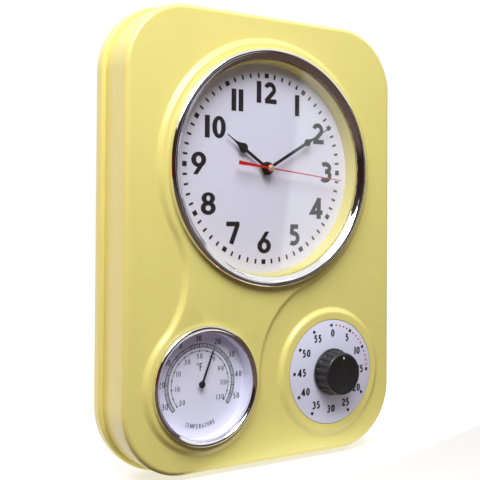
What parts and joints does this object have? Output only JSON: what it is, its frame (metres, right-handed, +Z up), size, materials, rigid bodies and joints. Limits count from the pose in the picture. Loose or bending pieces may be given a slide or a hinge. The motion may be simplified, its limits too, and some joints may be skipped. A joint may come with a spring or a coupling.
{
  "type": "wall-hung kitchen timer",
  "caption": "Rounded two-tier wall casing with a quartz clock, a round thermometer and a wind-up minute timer with a ribbed knob and a bell.",
  "frame": {"origin": "middle of the flat back face, on the wall plane, at mid-width and mid-height of the casing", "axes": "+Z up along the casing's height, +Y out of the back face into the wall, +X to the right of a viewer who faces the dial"},
  "size_m": [0.246, 0.0592, 0.338],
  "materials": {
    "yellow_shell": "smooth moulded pale yellow ABS with a satin gloss",
    "chrome_trim": "bright chrome plating, mirror smooth",
    "clear_lens": "clear polished acrylic",
    "dial_white": "printed pale lavender white, satin",
    "hand_black": "thin stamped metal, satin black paint",
    "hand_red": "red painted hand with a brass-coloured cap",
    "knob_black": "ribbed moulded black plastic",
    "sheet_steel": "plain stamped and turned steel",
    "bell_steel": "pressed and nickel-plated steel",
    "screws": "zinc-plated steel",
    "brass": "plain machined brass",
    "white_plastic": "natural moulded plastic",
    "black_plastic": "black moulded plastic with a fine texture",
    "battery_wrap": "plain printed film sleeve",
    "copper_wire": "enamelled copper winding",
    "board_green": "green solder mask"
  },
  "bodies": {
    "casing": {"front_housing": "yellow_shell", "rear_housing": "yellow_shell", "hanger_plate": "sheet_steel", "housing_screw_1": "screws", "housing_screw_2": "screws", "housing_screw_3": "screws", "housing_screw_4": "screws", "clock_bezel": "chrome_trim", "clock_lens": "clear_lens", "clock_dial": "dial_white", "dial_carrier": "white_plastic", "carrier_screw_1": "screws", "carrier_screw_2": "screws", "movement_case": "black_plastic", "movement_cover": "black_plastic", "movement_nut": "brass", "battery": "battery_wrap", "positive_contact": "sheet_steel", "negative_contact": "sheet_steel", "coil": "copper_wire", "stator": "sheet_steel", "circuit_board": "board_green", "thermometer_case": "white_plastic", "thermometer_dial": "dial_white", "bimetal_coil": "brass", "thermometer_lens": "clear_lens", "thermometer_bezel": "chrome_trim", "timer_dial": "dial_white", "timer_front_plate": "sheet_steel", "timer_back_plate": "sheet_steel", "timer_pillar_1": "brass", "timer_pillar_2": "brass", "timer_pillar_3": "brass", "mainspring": "sheet_steel", "bell": "bell_steel", "bell_stud": "sheet_steel", "timer_screw_1": "screws", "timer_screw_2": "screws"},
    "seconds": {"second_wheel": "white_plastic", "second_hand": "hand_red"},
    "fifth": {"fifth_wheel": "white_plastic"},
    "stepper": {"rotor": "white_plastic"},
    "third": {"third_wheel": "white_plastic"},
    "minutes": {"minute_wheel": "white_plastic", "minute_hand": "hand_black"},
    "motion": {"motion_wheel": "white_plastic"},
    "hours": {"hour_wheel": "white_plastic", "hour_hand": "hand_black"},
    "setter": {"set_knob": "white_plastic"},
    "temperature": {"thermometer_pointer": "hand_black", "pointer_staff": "sheet_steel"},
    "timer": {"timer_knob": "knob_black", "timer_shaft": "sheet_steel", "main_wheel": "brass"},
    "idler": {"idler_wheel": "brass"},
    "escape": {"escape_wheel": "brass"},
    "pallet": {"pallet_lever": "sheet_steel"},
    "striker": {"hammer": "sheet_steel"}
  },
  "joints": [
    {"name": "seconds_spin", "type": "hinge", "parent": "casing", "child": "seconds", "pos_m": [0, 0, 0.052], "axis": [0, 1, 0], "continuous": true},
    {"name": "fifth_spin", "type": "hinge", "parent": "casing", "child": "fifth", "pos_m": [0, 0, 0.06064], "axis": [0, 1, 0], "continuous": true},
    {"name": "rotor_spin", "type": "hinge", "parent": "casing", "child": "stepper", "pos_m": [0.00535, 0, 0.06599], "axis": [0, 1, 0], "continuous": true},
    {"name": "third_spin", "type": "hinge", "parent": "casing", "child": "third", "pos_m": [-0.00795, 0, 0.05659], "axis": [0, 1, 0], "continuous": true},
    {"name": "minutes_spin", "type": "hinge", "parent": "casing", "child": "minutes", "pos_m": [0, 0, 0.052], "axis": [0, 1, 0], "continuous": true},
    {"name": "motion_spin", "type": "hinge", "parent": "casing", "child": "motion", "pos_m": [0.00693, 0, 0.056], "axis": [0, 1, 0], "continuous": true},
    {"name": "hours_spin", "type": "hinge", "parent": "casing", "child": "hours", "pos_m": [0, 0, 0.052], "axis": [0, 1, 0], "continuous": true},
    {"name": "setter_spin", "type": "hinge", "parent": "casing", "child": "setter", "pos_m": [0.01482, 0, 0.05313], "axis": [0, 1, 0], "continuous": true},
    {"name": "temperature_swing", "type": "hinge", "parent": "casing", "child": "temperature", "pos_m": [-0.0568, 0, -0.1038], "axis": [0, 1, 0], "range_deg": [-147.4, 104.6], "stiffness_Nm_per_rad": 0.001},
    {"name": "timer_turn", "type": "hinge", "parent": "casing", "child": "timer", "pos_m": [0.0568, 0, -0.1038], "axis": [0, 1, 0], "range_deg": [0, 354]},
    {"name": "idler_spin", "type": "hinge", "parent": "casing", "child": "idler", "pos_m": [0.05327, 0, -0.08381], "axis": [0, 1, 0], "range_deg": [-1699.2, 0]},
    {"name": "escape_spin", "type": "hinge", "parent": "casing", "child": "escape", "pos_m": [0.04222, 0, -0.09155], "axis": [0, 1, 0], "range_deg": [0, 6796.8]},
    {"name": "pallet_swing", "type": "hinge", "parent": "casing", "child": "pallet", "pos_m": [0.0351, 0, -0.10171], "axis": [0, 1, 0], "range_deg": [-6, 6]},
    {"name": "striker_swing", "type": "hinge", "parent": "casing", "child": "striker", "pos_m": [0.07902, 0, -0.12244], "axis": [0, 1, 0], "range_deg": [-14, 0], "stiffness_Nm_per_rad": 0.005}
  ],
  "couplings": [
    {"joint": "fifth_spin", "follows": "seconds_spin", "ratio": -5},
    {"joint": "rotor_spin", "follows": "seconds_spin", "ratio": 30},
    {"joint": "third_spin", "follows": "seconds_spin", "ratio": -0.13333},
    {"joint": "minutes_spin", "follows": "seconds_spin", "ratio": 0.016667},
    {"joint": "motion_spin", "follows": "seconds_spin", "ratio": -0.0055556},
    {"joint": "hours_spin", "follows": "seconds_spin", "ratio": 0.0013889},
    {"joint": "setter_spin", "follows": "seconds_spin", "ratio": 0.013889},
    {"joint": "idler_spin", "follows": "timer_turn", "ratio": -4.8},
    {"joint": "escape_spin", "follows": "timer_turn", "ratio": 19.2}
  ]
}
